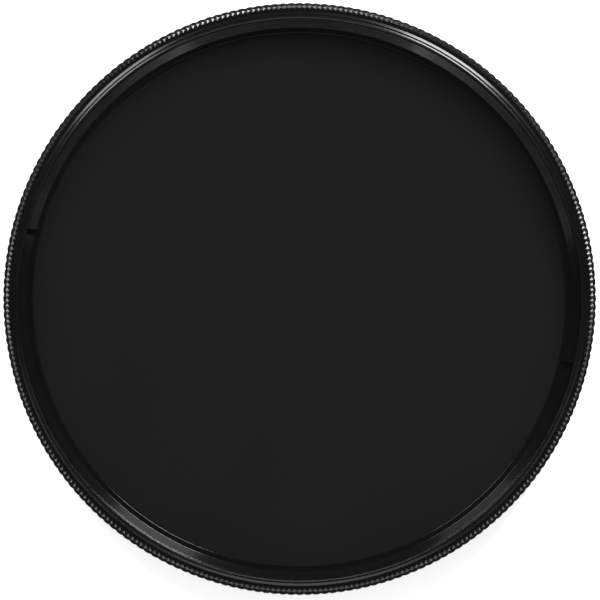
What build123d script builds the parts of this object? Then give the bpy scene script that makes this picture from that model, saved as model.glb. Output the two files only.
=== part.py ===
"""Screw-in neutral density filter, M77 x 0.75, as three separate pieces.

The filter lies on its rear thread with the front up. Z = 0 is the rear end of
the frame, +Z points to the front, and the Z axis is the optical axis.
All lengths are in millimetres and all angles in degrees.
"""

from build123d import *
from math import ceil, cos, hypot, radians, sin, tan
import os

# Screw thread, the same metric fine thread at both ends of the frame
thread_diameter = 77.0
thread_pitch = 0.75
external_thread_tolerance = 0.02
rear_thread_length = 2.4
rear_thread_chamfer = 0.25
front_thread_length = 2.0
thread_mouth_chamfer = 0.1

# Front face of the frame, as radial widths from the thread mouth outwards
rim_land = 0.03
bevel_width = 0.71
bevel_height = 0.44
shoulder_width = 0.4

# Diamond knurl on the cone in front of the grip, cut by V grooves of both hands
knurl_sectors = 10
knurls_per_sector = 35
knurl_cone_angle = 45
knurl_groove_angle = 38
knurl_point_angle = 110
knurl_overcut = 0.02

# Coin edge: low teeth along the grip, each a flat crest between two sloping flanks
tooth_count = 220
tooth_height = 0.13
tooth_crest_share = 0.4
grip_front_ledge = 0.05
grip_rear_land = 0.4
grip_rear_step = 0.1
grip_rear_chamfer = 0.25

# Glass and its seat in the frame
glass_thickness = 2.0
glass_edge_chamfer = 0.15
glass_overlap = 0.9
pocket_clearance = 0.1
rear_lip_thickness = 1.3
rear_lip_chamfer = 0.35
ledge_below_glass = 0.15

# Retaining ring
ring_fit_clearance = 0.05
ring_edge_land = 0.09
ring_cone_width = 1.04
ring_cone_height = 0.85
ring_land_width = 0.76
ring_lip_thickness = 0.55
ring_edge_chamfer = 0.08
notch_width = 0.9
notch_land_left = 0.25
notch_below_land = 0.3
notch_azimuth = -14

# Thread radii, each thread drawn as a plain cylinder at its crest. Only where the
# retaining ring is screwed in is the frame's thread drawn at its root.
external_crest_radius = thread_diameter / 2 - external_thread_tolerance
internal_crest_radius = thread_diameter / 2 - 0.5413 * thread_pitch
internal_root_radius = thread_diameter / 2

# Radii of the retaining ring and the glass, from the front thread inwards
ring_outer_radius = internal_root_radius - ring_fit_clearance
cone_outer_radius = internal_crest_radius - ring_edge_land
cone_inner_radius = cone_outer_radius - ring_cone_width
aperture_radius = cone_inner_radius - ring_land_width
glass_radius = aperture_radius + glass_overlap
pocket_radius = glass_radius + pocket_clearance

# Radii of the front face, from the front thread outwards
mouth_radius = internal_crest_radius + thread_mouth_chamfer
bevel_inner_radius = mouth_radius + rim_land
bevel_outer_radius = bevel_inner_radius + bevel_width
shoulder_radius = bevel_outer_radius + shoulder_width

# Knurl: the grooves cross in the plane of the shoulder, at its radius, and next in the
# plane of the cone's foot, which is as far down as a groove falls over half a step
knurl_step = 360 / (knurl_sectors * knurls_per_sector)
half_step = tan(radians(knurl_step / 2))
cone_slope = radians(knurl_cone_angle)
groove_lean = radians(knurl_groove_angle)
groove_slope = tan(radians(knurl_point_angle / 2))
groove_half_width = shoulder_radius * half_step * cos(groove_lean)
groove_depth = groove_half_width / groove_slope + knurl_overcut
groove_run_out = groove_depth / sin(cone_slope)
first_row_inset = groove_depth / tan(cone_slope)
groove_fall = tan(groove_lean) - half_step * cos(cone_slope)
cone_drop = shoulder_radius * half_step * sin(cone_slope) / groove_fall
cone_width = cone_drop / tan(cone_slope)
groove_reach = 3 * hypot(cone_width, cone_drop)
knurl_edge_radius = shoulder_radius + groove_run_out
knurl_foot_radius = knurl_edge_radius + cone_width
tooth_root_radius = knurl_foot_radius + grip_front_ledge
tooth_crest_radius = tooth_root_radius + tooth_height
grip_land_radius = tooth_root_radius - grip_rear_step
grip_core_radius = shoulder_radius

# Heights, stacked from the rear end of the frame to its rim
glass_bottom = rear_lip_thickness
glass_top = glass_bottom + glass_thickness
ledge_height = glass_top - ledge_below_glass
ring_land_height = glass_top + ring_lip_thickness
ring_top = ring_land_height + ring_cone_height
thread_start_height = ring_top + ring_fit_clearance
rim_height = ring_top + front_thread_length
shoulder_height = rim_height - bevel_height
knurl_foot_height = shoulder_height - cone_drop
tooth_start_height = rear_thread_length + grip_rear_land

os.makedirs("parts", exist_ok=True)


def polar(radius, angle):
    """Point in the XY plane at a radius and an angle."""
    return (radius * cos(radians(angle)), radius * sin(radians(angle)))


def groove_plane(hand):
    """Plane across one V groove where it passes the first row, at angle 0.

    Its Z axis runs along the groove, its X axis points out of the cone.
    """
    outward = Vector(sin(cone_slope), 0, cos(cone_slope))
    upward = Vector(-cos(cone_slope), 0, sin(cone_slope))
    along = upward * cos(groove_lean) + Vector(0, 1, 0) * (hand * sin(groove_lean))
    edge = Vector(knurl_edge_radius, 0, shoulder_height)
    return Plane(origin=edge + upward * first_row_inset, x_dir=outward, z_dir=along)


with BuildPart() as filter_glass:
    with BuildSketch(Plane.XY.offset(glass_bottom)):
        Circle(glass_radius)
    extrude(amount=glass_thickness)
    chamfer(filter_glass.edges(), glass_edge_chamfer)


with BuildPart() as retaining_ring:
    with BuildSketch(Plane.XZ):
        with BuildLine():
            Polyline(
                (aperture_radius, glass_top),
                (ring_outer_radius, glass_top),
                (ring_outer_radius, ring_top),
                (cone_outer_radius, ring_top),
                (cone_inner_radius, ring_land_height),
                (aperture_radius + ring_edge_chamfer, ring_land_height),
                (aperture_radius, ring_land_height - ring_edge_chamfer),
                close=True,
            )
        make_face()
    revolve(axis=Axis.Z)
    # Two spanner notches, milled from the outer edge to near the clear aperture
    notch_floor = ring_land_height - notch_below_land
    notch_inner_radius = aperture_radius + notch_land_left
    with BuildSketch(Plane.XY.offset(notch_floor)):
        with Locations(Rotation(0, 0, notch_azimuth)):
            Rectangle(4 * ring_outer_radius, notch_width)
        Circle(notch_inner_radius, mode=Mode.SUBTRACT)
    extrude(amount=ring_top - notch_floor, mode=Mode.SUBTRACT)


# One pair of crossing V grooves as a cutter, and one sector of the cone that it
# is patterned over
with BuildPart() as groove_cutter:
    for hand in (1, -1):
        with BuildSketch(groove_plane(hand)):
            half_mouth = 2 * groove_depth * groove_slope
            with BuildLine():
                Polyline(
                    (-groove_depth, 0),
                    (groove_depth, half_mouth),
                    (groove_depth, -half_mouth),
                    close=True,
                )
            make_face()
        extrude(amount=groove_reach, both=True)

with BuildPart() as knurl_sector:
    with BuildSketch(Plane.XZ):
        with BuildLine():
            Polyline(
                (bevel_outer_radius, knurl_foot_height),
                (knurl_foot_radius, knurl_foot_height),
                (knurl_edge_radius, shoulder_height),
                (bevel_outer_radius, shoulder_height),
                close=True,
            )
        make_face()
    revolve(axis=Axis.Z, revolution_arc=360 / knurl_sectors)
    overlap = ceil(groove_reach / (2 * shoulder_radius * half_step)) + 1
    cuts = knurls_per_sector + 2 * overlap
    with PolarLocations(0, cuts, (0.5 - overlap) * knurl_step, cuts * knurl_step):
        add(groove_cutter.part, mode=Mode.SUBTRACT)


with BuildPart() as filter_frame:
    # Coin edge: one polygon with three sides to a tooth
    tooth_step = 360 / tooth_count
    half_crest = tooth_crest_share / 2
    tooth_corners = (
        (tooth_root_radius, -0.5),
        (tooth_crest_radius, -half_crest),
        (tooth_crest_radius, half_crest),
    )
    coin_edge = [
        polar(radius, (tooth + place) * tooth_step)
        for tooth in range(tooth_count)
        for radius, place in tooth_corners
    ]
    with BuildSketch(Plane.XY.offset(tooth_start_height)):
        with BuildLine():
            Polyline(coin_edge, close=True)
        make_face()
        Circle(grip_core_radius, mode=Mode.SUBTRACT)
    extrude(amount=knurl_foot_height - tooth_start_height)
    # Turned section: rear thread, body, front face, front thread, glass seat
    with BuildSketch(Plane.XZ):
        with BuildLine():
            Polyline(
                (aperture_radius + rear_lip_chamfer, 0),
                (external_crest_radius - rear_thread_chamfer, 0),
                (external_crest_radius, rear_thread_chamfer),
                (external_crest_radius, rear_thread_length),
                (grip_land_radius - grip_rear_chamfer, rear_thread_length),
                (grip_land_radius, rear_thread_length + grip_rear_chamfer),
                (grip_land_radius, tooth_start_height),
                (grip_core_radius, tooth_start_height),
                (grip_core_radius, knurl_foot_height),
                (bevel_outer_radius, knurl_foot_height),
                (bevel_outer_radius, shoulder_height),
                (bevel_inner_radius, rim_height),
                (mouth_radius, rim_height),
                (internal_crest_radius, rim_height - thread_mouth_chamfer),
                (internal_crest_radius, thread_start_height),
                (internal_root_radius, thread_start_height),
                (internal_root_radius, ledge_height),
                (pocket_radius, ledge_height),
                (pocket_radius, glass_bottom),
                (aperture_radius, glass_bottom),
                (aperture_radius, rear_lip_chamfer),
                close=True,
            )
        make_face()
    revolve(axis=Axis.Z)
    # Knurled front cone
    with PolarLocations(0, knurl_sectors):
        add(knurl_sector.part)

filter_glass.part.label = "filter_glass"
retaining_ring.part.label = "retaining_ring"
filter_frame.part.label = "filter_frame"

for piece in (filter_glass, retaining_ring, filter_frame):
    export_step(piece.part, f"parts/{piece.part.label}.step")
    print(piece.part.label, round(piece.part.volume, 1), piece.part.bounding_box())
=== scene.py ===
"""Studio picture of a screw-in neutral density filter lying front up on a white table.

Blender metres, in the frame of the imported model: Z = 0 is the table, the Z axis is
the filter's optical axis, and +Y is the top of the picture. Sizes below are in
millimetres, as a workshop drawing has them, and MM turns them into metres.
"""

from math import atan2, cos, pi, radians, sin, tan

import bmesh
import bpy
from mathutils import Matrix, Vector


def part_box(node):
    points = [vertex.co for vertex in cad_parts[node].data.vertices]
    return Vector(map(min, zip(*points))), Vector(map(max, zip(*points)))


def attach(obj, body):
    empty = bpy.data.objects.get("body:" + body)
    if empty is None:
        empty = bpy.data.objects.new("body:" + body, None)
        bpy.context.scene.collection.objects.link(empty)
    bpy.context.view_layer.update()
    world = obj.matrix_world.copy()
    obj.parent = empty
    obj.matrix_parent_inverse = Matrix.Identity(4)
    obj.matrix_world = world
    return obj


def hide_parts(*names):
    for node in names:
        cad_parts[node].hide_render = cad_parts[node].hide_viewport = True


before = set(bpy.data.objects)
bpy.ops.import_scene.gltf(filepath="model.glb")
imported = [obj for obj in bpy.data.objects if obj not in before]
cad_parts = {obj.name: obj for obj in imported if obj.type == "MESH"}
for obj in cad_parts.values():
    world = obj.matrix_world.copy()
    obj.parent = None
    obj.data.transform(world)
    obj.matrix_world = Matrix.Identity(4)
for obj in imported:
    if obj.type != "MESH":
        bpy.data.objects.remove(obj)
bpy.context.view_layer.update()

MM = 0.001
AXIS = Vector((0, 0, 1))
BODY = "root"

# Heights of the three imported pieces
FRAME_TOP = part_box("filter_frame")[1][2] / MM
RING_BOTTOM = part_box("retaining_ring")[0][2] / MM
RING_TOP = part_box("retaining_ring")[1][2] / MM
GLASS_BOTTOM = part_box("filter_glass")[0][2] / MM
GLASS_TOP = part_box("filter_glass")[1][2] / MM
RING_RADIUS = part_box("retaining_ring")[1][0] / MM

# M77 x 0.75 thread
NOMINAL_RADIUS = 38.5
PITCH = 0.75
MALE_CREST = 38.48
MALE_ROOT = 38.04
THREAD_CORE = MALE_ROOT - 0.02
SLEEVE_WALL = 0.1
FEMALE_CREST = 38.094
SEAT_HEIGHT = 2.4
MOUTH_CHAMFER = 0.1
FRONT_THREAD_START = RING_TOP + 0.05
FRONT_THREAD_END = FRAME_TOP - MOUTH_CHAMFER

# Front face of the frame
MOUTH_RADIUS = FEMALE_CREST + MOUTH_CHAMFER
BEVEL_INNER = MOUTH_RADIUS + 0.03
BEVEL_OUTER = BEVEL_INNER + 0.71
SHOULDER_HEIGHT = FRAME_TOP - 0.44
SHOULDER_RADIUS = BEVEL_OUTER + 0.4

# Diamond knurl: a cone cut by V grooves that cross in the planes of shoulder and foot
KNURLS = 350
CONE_SLOPE = radians(45)
GROOVE_LEAN = radians(38)
POINT_ANGLE = radians(110)
OVERCUT = 0.02
HALF_STEP = tan(pi / KNURLS)
TOOTH_DEPTH = SHOULDER_RADIUS * HALF_STEP * cos(GROOVE_LEAN) / tan(POINT_ANGLE / 2)
GROOVE_DEPTH = TOOTH_DEPTH + OVERCUT
CONE_EDGE = SHOULDER_RADIUS + GROOVE_DEPTH / sin(CONE_SLOPE)
CONE_DROP = SHOULDER_RADIUS * HALF_STEP * sin(CONE_SLOPE) / (
    tan(GROOVE_LEAN) - HALF_STEP * cos(CONE_SLOPE)
)
CONE_FOOT = CONE_EDGE + CONE_DROP / tan(CONE_SLOPE)
FOOT_HEIGHT = SHOULDER_HEIGHT - CONE_DROP

# Coin edge
TEETH = 220
TOOTH_ROOT = CONE_FOOT + 0.05
TOOTH_CREST = TOOTH_ROOT + 0.13
TOOTH_START = SEAT_HEIGHT + 0.4
LAND_RADIUS = TOOTH_ROOT - 0.1
LAND_CHAMFER = 0.25
TOOTH_BREAK = 0.05

# Core of the frame, out of sight under the coin edge and the knurl
CORE_START = TOOTH_START + 0.05
CORE_REAR_RADIUS = LAND_RADIUS - 0.3
CORE_FRONT_RADIUS = LAND_RADIUS - 0.5
CORE_STEP = FOOT_HEIGHT - 0.3
CORE_TOP = FOOT_HEIGHT - 0.2

# Inside of the frame and the retaining ring
GLASS_POCKET = 37.204
LEDGE_HEIGHT = GLASS_TOP - 0.15
APERTURE = 36.204
LIP_CHAMFER = 0.35
RING_LAND = RING_BOTTOM + 0.55
CONE_INNER = 36.964
CONE_OUTER = 38.004
RING_EDGE_CHAMFER = 0.08
NOTCH_WIDTH = 0.9
NOTCH_REACH = 36.454
NOTCH_FLOOR = RING_LAND - 0.3
NOTCH_AZIMUTH = -14

# Lamps round the table: name, azimuth, elevation, width and height in degrees, brightness
LAMPS = (
    ("softbox_left", 128, 33, 17, 28, 9),
    ("softbox_right", 60, 33, 17, 28, 24),
    ("skirt_left", 128, 9, 17, 12, 0.45),
    ("skirt_right", 60, 9, 17, 12, 1.1),
    ("front_strip", -90, 23.5, 52, 6, 3.2),
    ("front_strip_left", -143, 20.5, 52, 4, 2.6),
    ("front_strip_right", -37, 20.5, 52, 4, 2.0),
    ("front_fill", -90, 36, 60, 16, 0.3),
)
LAMP_DISTANCE = 0.7

# Picture: the table, the camera, and the photograph's width and scale
TABLE_HALF_WIDTH = 0.6
CAMERA_ELEVATION = radians(87.1)
CAMERA_DISTANCE = 1.2
AIM = Vector((0.05, -0.17, 4.9)) * MM
PICTURE_PIXELS = 600
PIXEL_SIZE = 0.1355

# Mesh: steps of a full turn, corner and holding edge sizes, and distances that are welded
TURN_STEPS = 720
EDGE_BREAK = 0.02
HOLDING_EDGE = 0.006
WELD = 0.0004
SEAM_WELD = 0.002


def finished(bm, name, smooth_under=30):
    """A mesh object from a bmesh in millimetres, with its normals out and soft edges smooth."""
    bmesh.ops.remove_doubles(bm, verts=bm.verts, dist=WELD)
    bmesh.ops.recalc_face_normals(bm, faces=bm.faces)
    bmesh.ops.scale(bm, vec=(MM, MM, MM), verts=bm.verts)
    for edge in bm.edges:
        edge.smooth = len(edge.link_faces) == 2 and edge.calc_face_angle(0) < radians(smooth_under)
    for face in bm.faces:
        face.smooth = True
    mesh = bpy.data.meshes.new(name)
    bm.to_mesh(mesh)
    bm.free()
    piece = bpy.data.objects.new(name, mesh)
    bpy.context.scene.collection.objects.link(piece)
    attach(piece, BODY)
    return piece


def outline(bm, points, closed=True):
    """Edges through (radius, height) points, in the plane y = 0."""
    verts = [bm.verts.new((radius, 0, height)) for radius, height in points]
    pairs = list(zip(verts, verts[1:]))
    if closed:
        pairs.append((verts[-1], verts[0]))
    return [bm.edges.new(pair) for pair in pairs]


def trim(bm, height, keep_below):
    """Cuts the mesh at a height and keeps what is below or above it."""
    bmesh.ops.bisect_plane(
        bm, geom=bm.verts[:] + bm.edges[:] + bm.faces[:], plane_co=(0, 0, height), plane_no=AXIS,
        clear_outer=keep_below, clear_inner=not keep_below,
    )


def rim_at(bm, height):
    """The open edges at a height."""
    return [
        e for e in bm.edges
        if e.is_boundary and all(abs(v.co.z - height) < SEAM_WELD for v in e.verts)
    ]


def draw_to(bm, rim, radius):
    """A flat wall from open edges inwards or outwards to a radius."""
    wall = bmesh.ops.extrude_edge_only(bm, edges=rim)["geom"]
    for vert in (item for item in wall if isinstance(item, bmesh.types.BMVert)):
        vert.co.xy = vert.co.xy.normalized() * radius


def close_inside(bm):
    """Joins the two open rims that are left, out of sight inside the frame."""
    bmesh.ops.bridge_loops(bm, edges=[e for e in bm.edges if e.is_boundary])


def turned(bm, points):
    """A closed outline with its corners broken, turned about the optical axis."""
    edges = outline(bm, points)
    verts = list({vert for edge in edges for vert in edge.verts})
    bmesh.ops.bevel(
        bm, geom=verts, offset=EDGE_BREAK, affect="VERTICES", segments=2, profile=0.5, material=-1
    )
    # Holding edges next to the corners, so that the faces between them shade as they are
    for edge in [edge for edge in bm.edges if edge.calc_length() > 6 * HOLDING_EDGE]:
        for vert in list(edge.verts):
            bmesh.utils.edge_split(edge, vert, HOLDING_EDGE / edge.calc_length())
    profile = [v for v in bm.verts if v.is_wire] + [e for e in bm.edges if e.is_wire]
    bmesh.ops.spin(
        bm, geom=profile, cent=(0, 0, 0), axis=AXIS, angle=2 * pi, steps=TURN_STEPS, use_merge=True
    )


def frame_body():
    """The turned part of the frame, without its threads, knurl and coin edge."""
    bm = bmesh.new()
    turned(bm, [
        (APERTURE + LIP_CHAMFER, 0),
        (THREAD_CORE, 0),
        (THREAD_CORE, SEAT_HEIGHT),
        (LAND_RADIUS - LAND_CHAMFER, SEAT_HEIGHT),
        (LAND_RADIUS, SEAT_HEIGHT + LAND_CHAMFER),
        (LAND_RADIUS, CORE_START),
        (CORE_REAR_RADIUS, CORE_START),
        (CORE_FRONT_RADIUS, CORE_STEP),
        (BEVEL_OUTER, CORE_TOP),
        (BEVEL_OUTER, SHOULDER_HEIGHT),
        (BEVEL_INNER, FRAME_TOP),
        (MOUTH_RADIUS, FRAME_TOP),
        (FEMALE_CREST + 0.01, FRONT_THREAD_END + 0.01),
        (NOMINAL_RADIUS, FRONT_THREAD_END),
        (NOMINAL_RADIUS, LEDGE_HEIGHT),
        (GLASS_POCKET, LEDGE_HEIGHT),
        (GLASS_POCKET, GLASS_BOTTOM),
        (APERTURE, GLASS_BOTTOM),
        (APERTURE, LIP_CHAMFER),
    ])
    return finished(bm, "frame_body")


def screw_thread(name, crest, root, buried, start, end):
    """One helical thread as a closed sleeve, trimmed flat at both heights.

    Crest and root flats are an eighth of the pitch, and buried is the radius of the
    sleeve's other wall, out of sight in the frame.
    """
    bm = bmesh.new()
    flat = PITCH / 8
    flank = PITCH / 2 - flat
    turns = int((end - start) / PITCH) + 3
    first = start - 1.5 * PITCH
    profile = outline(bm, [
        (crest, first),
        (crest, first + flat),
        (root, first + flat + flank),
        (root, first + 2 * flat + flank),
        (crest, first + PITCH),
    ], closed=False)
    geometry = list({vert for edge in profile for vert in edge.verts}) + profile
    per_turn = TURN_STEPS // 2
    bmesh.ops.spin(
        bm, geom=geometry, cent=(0, 0, 0), axis=AXIS, dvec=AXIS * PITCH / per_turn,
        angle=2 * pi * turns, steps=per_turn * turns, use_merge=False,
    )
    bmesh.ops.remove_doubles(bm, verts=bm.verts, dist=WELD)
    trim(bm, start, keep_below=False)
    trim(bm, end, keep_below=True)
    draw_to(bm, [edge for edge in bm.edges if edge.is_boundary], buried)
    close_inside(bm)
    return finished(bm, name)


def knurled_front():
    """The flat shoulder and the knurled cone outside it, as one closed ring.

    One cell of the knurl is a column of diamonds, each poked up into a point. It is
    laid on the cone, patterned round it, and trimmed at the shoulder and the foot.
    """
    bm = bmesh.new()
    half = SHOULDER_RADIUS * HALF_STEP
    reach = CONE_DROP / sin(CONE_SLOPE)
    # Every other row of diamonds lies half a step to the side
    for row in range(-1, 3):
        middle = row * reach - GROOVE_DEPTH / tan(CONE_SLOPE)
        for side in (0,) if row % 2 == 0 else (-half, half):
            corners = [
                bm.verts.new((middle + along, side + across, -TOOTH_DEPTH))
                for along, across in ((reach, 0), (0, half), (-reach, 0), (0, -half))
            ]
            bm.faces.new(corners)
    bmesh.ops.remove_doubles(bm, verts=bm.verts, dist=WELD)
    bmesh.ops.poke(bm, faces=bm.faces[:], offset=TOOTH_DEPTH)
    for across in (half, -half):
        bmesh.ops.bisect_plane(
            bm, geom=bm.verts[:] + bm.edges[:] + bm.faces[:], plane_co=(0, across, 0),
            plane_no=(0, across, 0), clear_outer=True,
        )
    down = Vector((cos(CONE_SLOPE), 0, -sin(CONE_SLOPE)))
    out = Vector((sin(CONE_SLOPE), 0, cos(CONE_SLOPE)))
    edge = Vector((CONE_EDGE, 0, SHOULDER_HEIGHT))
    for vert in bm.verts:
        along, across, height = vert.co
        place = edge + down * along + out * (height - OVERCUT)
        vert.co = Matrix.Rotation(across / half * pi / KNURLS, 4, "Z") @ place
    cell = bm.verts[:] + bm.edges[:] + bm.faces[:]
    bmesh.ops.spin(
        bm, geom=cell, cent=(0, 0, 0), axis=AXIS, angle=2 * pi, steps=KNURLS, use_duplicate=True
    )
    bmesh.ops.remove_doubles(bm, verts=bm.verts, dist=SEAM_WELD)
    trim(bm, SHOULDER_HEIGHT, keep_below=True)
    trim(bm, FOOT_HEIGHT, keep_below=False)
    # Both rims go inwards: the upper one as the shoulder, the lower one under the knurl
    draw_to(bm, rim_at(bm, SHOULDER_HEIGHT), BEVEL_OUTER - 0.01)
    draw_to(bm, rim_at(bm, FOOT_HEIGHT), SHOULDER_RADIUS)
    close_inside(bm)
    # The shoulder keeps the frame's finish, and the knurl has the second one
    for face in bm.faces:
        lowest = min(vert.co.z for vert in face.verts)
        face.material_index = int(lowest < SHOULDER_HEIGHT - SEAM_WELD)
    return finished(bm, "knurled_front", smooth_under=12)


def coin_edge():
    """The coin edge of the grip: one rounded tooth, patterned round and extruded."""
    bm = bmesh.new()
    step = 2 * pi / TEETH
    half_chord = TOOTH_ROOT * sin(step / 2)
    rise = TOOTH_CREST - TOOTH_ROOT
    arc_radius = (half_chord ** 2 + rise ** 2) / (2 * rise)
    centre = TOOTH_CREST - arc_radius
    reach = atan2(half_chord, arc_radius - rise)
    start = bm.verts.new((
        centre + arc_radius * cos(reach), -arc_radius * sin(reach), TOOTH_START,
    ))
    bmesh.ops.spin(
        bm, geom=[start], cent=(centre, 0, 0), axis=AXIS, angle=2 * reach, steps=8
    )
    tooth = bm.verts[:] + bm.edges[:]
    bmesh.ops.spin(
        bm, geom=tooth, cent=(0, 0, 0), axis=AXIS, angle=2 * pi, steps=TEETH, use_duplicate=True
    )
    bmesh.ops.remove_doubles(bm, verts=bm.verts, dist=SEAM_WELD)
    bottom = bm.edges[:]
    flank = bmesh.ops.extrude_edge_only(bm, edges=bottom)["geom"]
    top_verts = [item for item in flank if isinstance(item, bmesh.types.BMVert)]
    bmesh.ops.translate(bm, verts=top_verts, vec=(0, 0, FOOT_HEIGHT - TOOTH_START))
    draw_to(bm, rim_at(bm, TOOTH_START), CORE_FRONT_RADIUS)
    draw_to(bm, rim_at(bm, FOOT_HEIGHT), CORE_FRONT_RADIUS)
    close_inside(bm)
    rims = [
        e for e in bm.edges
        if all(v.co.xy.length > TOOTH_ROOT - 0.01 for v in e.verts)
        and abs(e.verts[0].co.z - e.verts[1].co.z) < SEAM_WELD
    ]
    bmesh.ops.bevel(
        bm, geom=rims, offset=TOOTH_BREAK, affect="EDGES", segments=2, profile=0.5, material=-1
    )
    return finished(bm, "coin_edge", smooth_under=40)


def retaining_ring():
    """The threaded ring that holds the glass, with its two spanner notches."""
    bm = bmesh.new()
    turned(bm, [
        (APERTURE, GLASS_TOP),
        (RING_RADIUS, GLASS_TOP),
        (RING_RADIUS, RING_TOP),
        (CONE_OUTER, RING_TOP),
        (CONE_INNER, RING_LAND),
        (APERTURE + RING_EDGE_CHAMFER, RING_LAND),
        (APERTURE, RING_LAND - RING_EDGE_CHAMFER),
    ])
    ring = finished(bm, "retaining_ring_turned")
    # Each notch is cut by a box that reaches past the ring's outside and top
    cutter = bmesh.new()
    length = RING_RADIUS + 1 - NOTCH_REACH
    for side in (1, -1):
        box = bmesh.ops.create_cube(cutter, size=1)["verts"]
        bmesh.ops.scale(cutter, verts=box, vec=(length, NOTCH_WIDTH, 2))
        bmesh.ops.translate(
            cutter, verts=box, vec=(side * (NOTCH_REACH + length / 2), 0, NOTCH_FLOOR + 1)
        )
    bmesh.ops.rotate(
        cutter, verts=cutter.verts, cent=(0, 0, 0),
        matrix=Matrix.Rotation(radians(NOTCH_AZIMUTH), 3, "Z"),
    )
    notches = finished(cutter, "notch_cutter")
    cut = ring.modifiers.new("spanner_notches", "BOOLEAN")
    cut.operation = "DIFFERENCE"
    cut.solver = "EXACT"
    cut.object = notches
    shaped = ring.evaluated_get(bpy.context.evaluated_depsgraph_get())
    mesh = bpy.data.meshes.new_from_object(shaped)
    bpy.data.objects.remove(notches)
    bpy.data.objects.remove(ring)
    bm = bmesh.new()
    bm.from_mesh(mesh)
    bmesh.ops.scale(bm, vec=(1 / MM, 1 / MM, 1 / MM), verts=bm.verts)
    return finished(bm, "glass_retaining_ring")


class Amount:
    """A number that varies over a surface, which plain arithmetic can be written with."""

    def __init__(self, shading, socket):
        self.shading = shading
        self.socket = socket

    def _math(self, operation, *values):
        return self.shading.node(
            "ShaderNodeMath", {"operation": operation}, dict(enumerate(values))
        )

    def __add__(self, other):
        return self._math("ADD", self, other)

    def __radd__(self, other):
        return self._math("ADD", other, self)

    def __sub__(self, other):
        return self._math("SUBTRACT", self, other)

    def __rsub__(self, other):
        return self._math("SUBTRACT", other, self)

    def __mul__(self, other):
        return self._math("MULTIPLY", self, other)

    def __rmul__(self, other):
        return self._math("MULTIPLY", other, self)

    def __pow__(self, other):
        return self._math("POWER", self, other)


class Shading:
    """A node tree of a material or of the world."""

    def __init__(self, tree):
        self.tree = tree

    def node(self, kind, settings=None, inputs=None, output=0):
        """Any node: its settings first, then its sockets' values or links. Gives one output."""
        made = self.tree.nodes.new(kind)
        for label, value in (settings or {}).items():
            setattr(made, label, value)
        for socket, value in (inputs or {}).items():
            self.feed(made.inputs[socket], value)
        return Amount(self, made.outputs[output])

    def feed(self, socket, value):
        """A socket takes a link or a constant."""
        if isinstance(value, Amount):
            self.tree.links.new(value.socket, socket)
        else:
            socket.default_value = value


class Finish(Shading):
    """A procedural surface: a material, its Principled shader and its nodes."""

    def __init__(self, name, **constants):
        self.material = bpy.data.materials.new(name)
        self.material.use_nodes = True
        super().__init__(self.material.node_tree)
        self.shader = self.tree.nodes["Principled BSDF"]
        for label, value in constants.items():
            self.shader.inputs[label.replace("_", " ")].default_value = value
        place = self.node("ShaderNodeTexCoord", output="Object")
        self.place = self.node("ShaderNodeVectorMath", {"operation": "SCALE"}, {0: place, "Scale": 1 / MM})
        self.x = self.node("ShaderNodeSeparateXYZ", inputs={0: self.place}, output="X")
        self.y = self.node("ShaderNodeSeparateXYZ", inputs={0: self.place}, output="Y")
        self.z = self.node("ShaderNodeSeparateXYZ", inputs={0: self.place}, output="Z")

    def set(self, **links):
        """Links for the shader's own sockets, such as Base_Color or Roughness."""
        for label, value in links.items():
            self.feed(self.shader.inputs[label.replace("_", " ")], value)

    def noise(self, scale, detail=2.0):
        """Cloudy noise between 0 and 1, whose features are 1 / scale millimetres wide."""
        return self.node(
            "ShaderNodeTexNoise", {"noise_dimensions": "3D"},
            {"Vector": self.place, "Scale": scale, "Detail": detail, "Roughness": 0.5}, output="Fac",
        )

    def tool_marks(self, scale):
        """Rings left by the lathe: noise along the radius and the height only."""
        radius = (self.x * self.x + self.y * self.y) ** 0.5
        path = radius + self.z * 0.83
        return self.node(
            "ShaderNodeTexNoise", {"noise_dimensions": "1D"},
            {"W": path, "Scale": scale, "Detail": 2.0, "Roughness": 0.6}, output="Fac",
        )

    def shade(self, dark, pale, amount):
        """A colour between two, by an amount from 0 to 1."""
        return self.node(
            "ShaderNodeMix", {"data_type": "RGBA"},
            {"Factor": amount, "A": (*dark, 1), "B": (*pale, 1)}, output="Result",
        )

    def bump(self, height, depth, normal=None):
        """A bump of a depth in millimetres, on the surface or on another bump's normal."""
        inputs = {"Height": height, "Strength": 1.0, "Distance": depth * MM}
        if normal is not None:
            inputs["Normal"] = normal
        return self.node("ShaderNodeBump", None, inputs)


def anodised(name, roughness, mark_depth, grain_depth, ior=1.5):
    """Black anodised aluminium: fine lathe rings under an oxide with a faint grain.

    Both depths are in millimetres. A higher ior is a harder, shinier oxide.
    """
    finish = Finish(name, IOR=ior, Metallic=0.0)
    marks = finish.tool_marks(18)
    grain = finish.noise(25)
    clouds = finish.noise(0.25, detail=3)
    finish.set(
        Base_Color=finish.shade((0.0022, 0.0022, 0.0024), (0.0042, 0.0042, 0.0045), clouds),
        Roughness=roughness + 0.08 * (grain - 0.5) + 0.06 * (clouds - 0.5),
    )
    rings = finish.bump(marks, mark_depth)
    finish.set(Normal=finish.bump(grain, grain_depth, rings))
    return finish.material


def dark_glass():
    """Absorbing glass with a hard coating, seen as a black mirror of low strength."""
    finish = Finish("nd_glass", IOR=1.5, Specular_IOR_Level=0.12)
    film = finish.noise(0.06)
    finish.set(
        Base_Color=finish.shade((0.0092, 0.0092, 0.0095), (0.0111, 0.0111, 0.0114), film),
        Roughness=0.015 + 0.02 * film,
    )
    return finish.material


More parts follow.
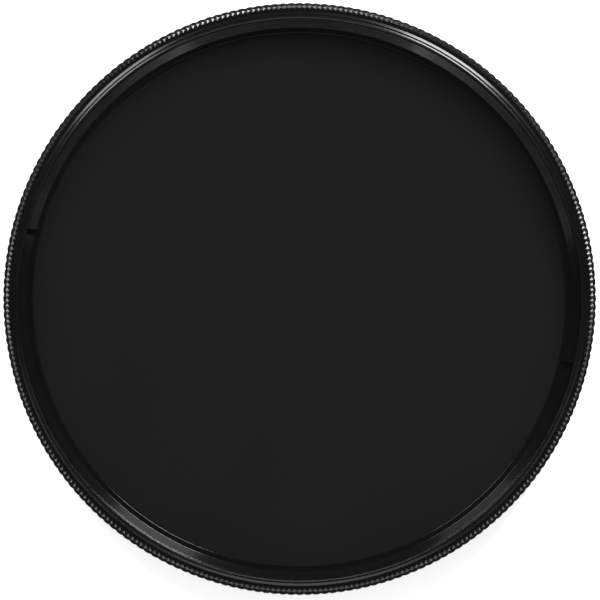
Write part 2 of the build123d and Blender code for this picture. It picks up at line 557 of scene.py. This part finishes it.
def white_table():
    """The table, which glows white to the camera, and to polished metal glows as a painted reflection,
    brighter in front.
    """
    bm = bmesh.new()
    bmesh.ops.create_grid(bm, x_segments=1, y_segments=1, size=TABLE_HALF_WIDTH)
    mesh = bpy.data.meshes.new("table")
    bm.to_mesh(mesh)
    bm.free()
    table = bpy.data.objects.new("table", mesh)
    bpy.context.scene.collection.objects.link(table)
    white = Finish("white_table", Roughness=0.6, Base_Color=(0.8, 0.8, 0.8, 1))
    table.data.materials.append(white.material)
    seen = white.node("ShaderNodeLightPath", output="Is Camera Ray")
    mirrored = white.node("ShaderNodeLightPath", output="Is Glossy Ray")
    # Painted reflection: to glossy rays the table glows strongly in front and faintly behind, standing in
    # for light
    painted_reflection_in_front = white.node("ShaderNodeMapRange", None, {
        "Value": white.y, "From Min": 0.0, "From Max": 30.0, "To Min": 0.85, "To Max": 0.05,
    })
    glow = white.node("ShaderNodeEmission", None, {
        "Color": (1, 1, 1, 1), "Strength": seen * 0.62 + mirrored * painted_reflection_in_front,
    })
    lit = Amount(white, white.shader.outputs[0])
    surface = white.node("ShaderNodeAddShader", None, {0: lit, 1: glow})
    white.feed(white.tree.nodes["Material Output"].inputs["Surface"], surface)


def surroundings():
    """White to the camera, even light on the part, and dark overhead in its reflections."""
    world = bpy.data.worlds.new("white_studio")
    world.use_nodes = True
    bpy.context.scene.world = world
    sky = Shading(world.node_tree)
    direction = sky.node("ShaderNodeTexCoord", output="Generated")
    height = sky.node("ShaderNodeSeparateXYZ", inputs={0: direction}, output="Z")
    reflected = sky.node("ShaderNodeMapRange", None, {
        "Value": height, "From Min": 0.0, "From Max": 0.12, "To Min": 0.35, "To Max": 0.06,
    })
    mirrored = sky.node("ShaderNodeLightPath", output="Is Glossy Ray")
    seen = sky.node("ShaderNodeLightPath", output="Is Camera Ray")
    unseen = mirrored * reflected + (1 - mirrored) * 0.5
    background = world.node_tree.nodes["Background"]
    sky.feed(background.inputs["Color"], (1, 1, 1, 1))
    sky.feed(background.inputs["Strength"], seen + (1 - seen) * unseen)


def hang_lamps():
    """Flat lamps at their bearings from the part, each turned to face it."""
    for name, azimuth, elevation, width, height, brightness in LAMPS:
        data = bpy.data.lights.new(name, "AREA")
        data.shape = "RECTANGLE"
        data.size = 2 * LAMP_DISTANCE * tan(radians(width / 2))
        data.size_y = 2 * LAMP_DISTANCE * tan(radians(height / 2))
        data.energy = brightness * pi * data.size * data.size_y
        lamp = bpy.data.objects.new(name, data)
        bpy.context.scene.collection.objects.link(lamp)
        rise = radians(elevation)
        turn = radians(azimuth)
        away = Vector((cos(turn) * cos(rise), sin(turn) * cos(rise), sin(rise)))
        lamp.location = away * LAMP_DISTANCE
        lamp.rotation_euler = (-away).to_track_quat("-Z", "Y").to_euler()


def camera():
    """Long lens almost straight above, tipped a little towards the bottom of the picture."""
    away = Vector((0, -cos(CAMERA_ELEVATION), sin(CAMERA_ELEVATION)))
    data = bpy.data.cameras.new("camera")
    data.sensor_width = 36
    data.lens = data.sensor_width * CAMERA_DISTANCE / (PICTURE_PIXELS * PIXEL_SIZE * MM)
    view = bpy.data.objects.new("camera", data)
    bpy.context.scene.collection.objects.link(view)
    view.location = AIM + away * CAMERA_DISTANCE
    view.rotation_euler = (-away).to_track_quat("-Z", "Y").to_euler()
    bpy.context.scene.camera = view


satin = anodised("anodised_frame", 0.2, 0.0009, 0.0004)
worn = anodised("anodised_knurl", 0.24, 0.0005, 0.0006, ior=1.85)
glossy = anodised("anodised_ring", 0.13, 0.0003, 0.0002)
rear = screw_thread(
    "rear_thread", MALE_CREST, MALE_ROOT, MALE_ROOT - SLEEVE_WALL, 0.0, SEAT_HEIGHT + 0.01
)
front = screw_thread(
    "front_thread", FEMALE_CREST, NOMINAL_RADIUS, NOMINAL_RADIUS + SLEEVE_WALL,
    FRONT_THREAD_START, FRONT_THREAD_END,
)
dressed = (
    (frame_body(), (satin,)),
    (rear, (satin,)),
    (front, (satin,)),
    (knurled_front(), (satin, worn)),
    (coin_edge(), (worn,)),
)
for piece, surfaces in dressed:
    for surface in surfaces:
        piece.data.materials.append(surface)
    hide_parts("filter_frame")
ring = retaining_ring()
ring.data.materials.append(glossy)
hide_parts("retaining_ring")
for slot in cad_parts["filter_glass"].material_slots:
    slot.material = dark_glass()

white_table()
surroundings()
hang_lamps()
camera()
bpy.context.scene.view_settings.view_transform = "Standard"
